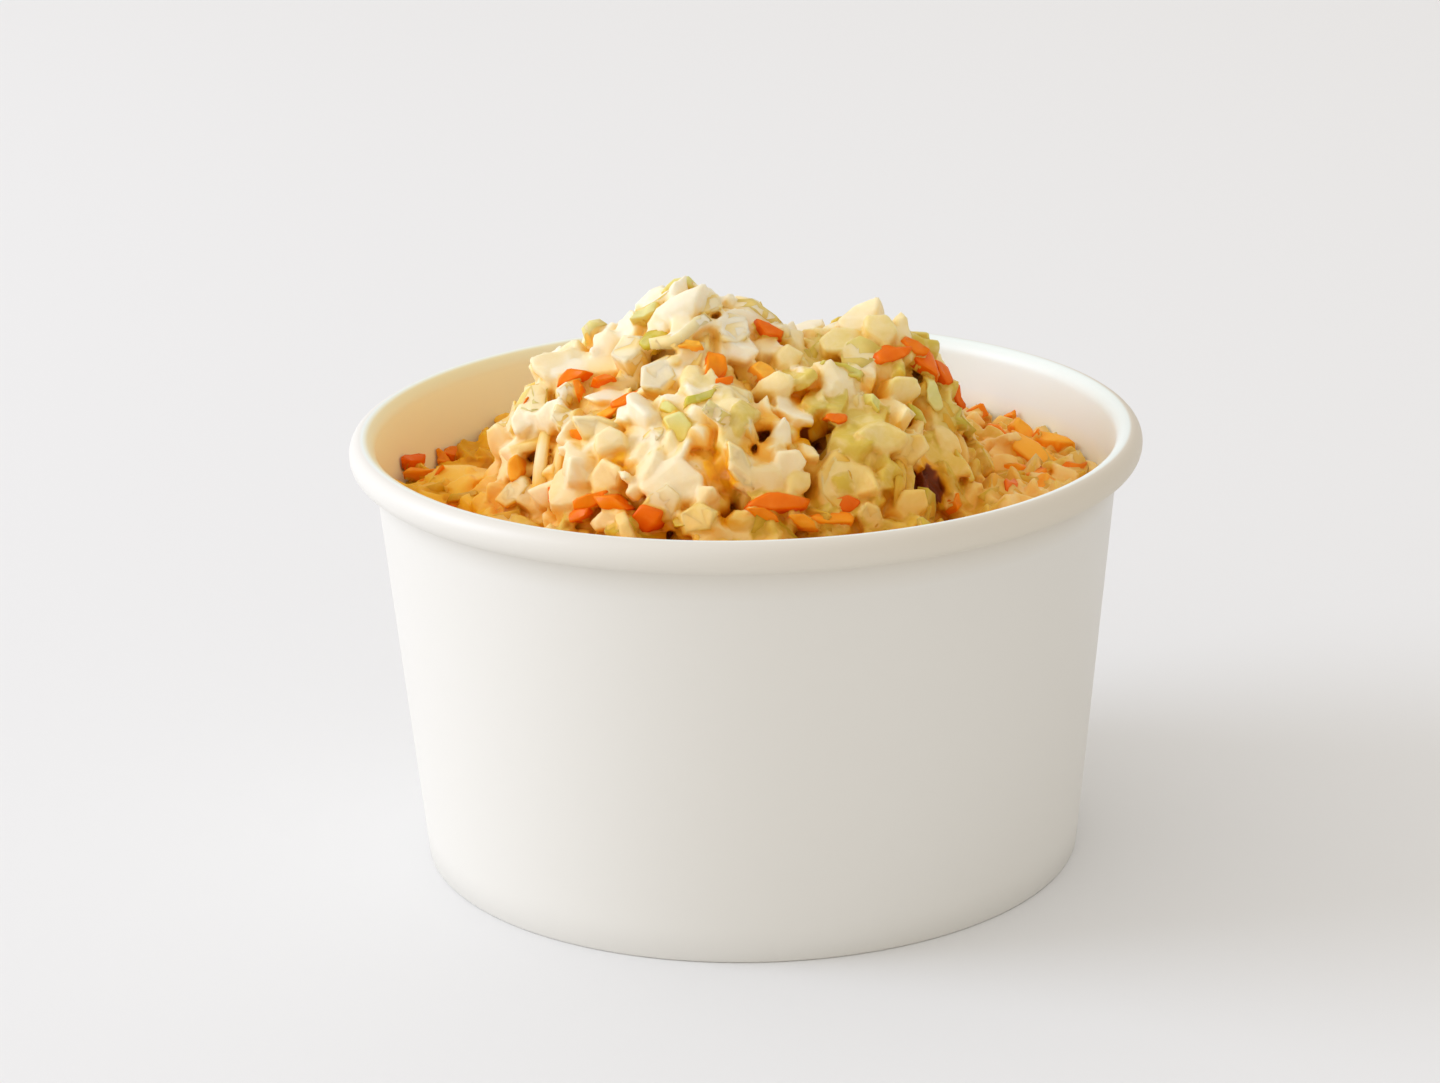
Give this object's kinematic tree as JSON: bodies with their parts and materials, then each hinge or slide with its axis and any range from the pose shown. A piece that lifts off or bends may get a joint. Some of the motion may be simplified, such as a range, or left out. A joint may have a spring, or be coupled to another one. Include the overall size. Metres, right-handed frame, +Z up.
{
  "type": "coleslaw",
  "caption": "Round white paper tub with a rolled rim, heaped with creamy chopped coleslaw of cabbage and carrot.",
  "frame": {"origin": "centre of the ring that the cup stands on", "axes": "+Z up through the cup's middle; -Y is the side that faces a viewer, and the heap's peak leans to -X"},
  "size_m": [0.098, 0.098, 0.0725],
  "materials": {
    "paperboard": "white paperboard with a thin satin coating inside and out",
    "dressed_slaw": "wet chopped white cabbage in a creamy dressing",
    "carrot": "wet chopped carrot",
    "green_cabbage": "wet chopped outer cabbage leaf, pale green"
  },
  "bodies": {
    "root": {"cup": "paperboard", "coleslaw": "dressed_slaw"}
  },
  "joints": []
}
